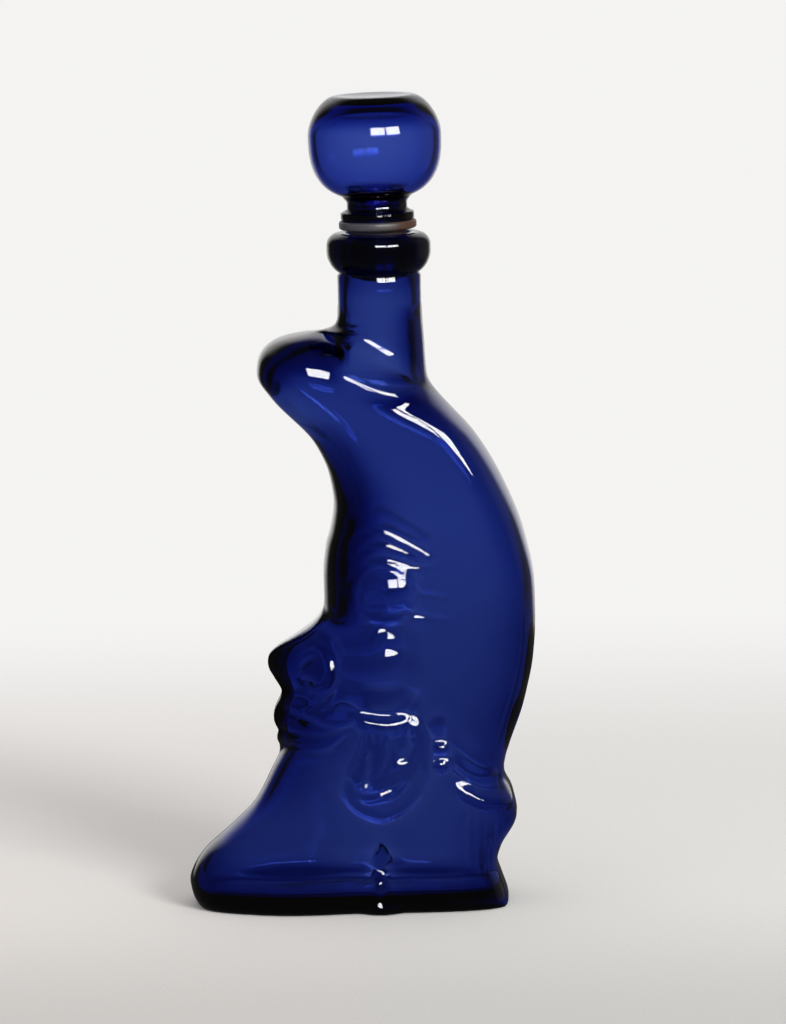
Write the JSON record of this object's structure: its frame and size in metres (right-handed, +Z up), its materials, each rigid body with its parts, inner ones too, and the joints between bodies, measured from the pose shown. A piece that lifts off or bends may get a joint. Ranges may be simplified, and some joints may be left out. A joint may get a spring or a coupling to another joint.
{
  "type": "glass decanter",
  "caption": "Figural glass decanter: a crescent moon with a face in profile on a cloud base, closed by a hollow glass ball stopper in a plastic seal.",
  "frame": {"origin": "on the table, under the middle of the bottle's width and depth", "axes": "+Z up; the face looks towards -X; the mould's parting plane is Y = 0"},
  "size_m": [0.1216, 0.067, 0.2817],
  "materials": {
    "blue_glass": "smooth mould-blown cobalt blue glass",
    "stopper_glass": "smooth blown cobalt blue glass",
    "seal_plastic": "aged translucent plastic, stained at the rim"
  },
  "bodies": {
    "bottle": {"bottle": "blue_glass"},
    "seal": {"seal": "seal_plastic"},
    "stopper": {"stopper": "stopper_glass"}
  },
  "joints": [
    {"name": "stopper_pull", "type": "slide", "parent": "bottle", "child": "seal", "axis": [0, 0, 1], "range_m": [0, 0.04]},
    {"name": "stopper_twist", "type": "hinge", "parent": "seal", "child": "stopper", "pos_m": [0.009, 0, 0.2302], "axis": [-0.0175, 0, 0.9998], "continuous": true}
  ]
}
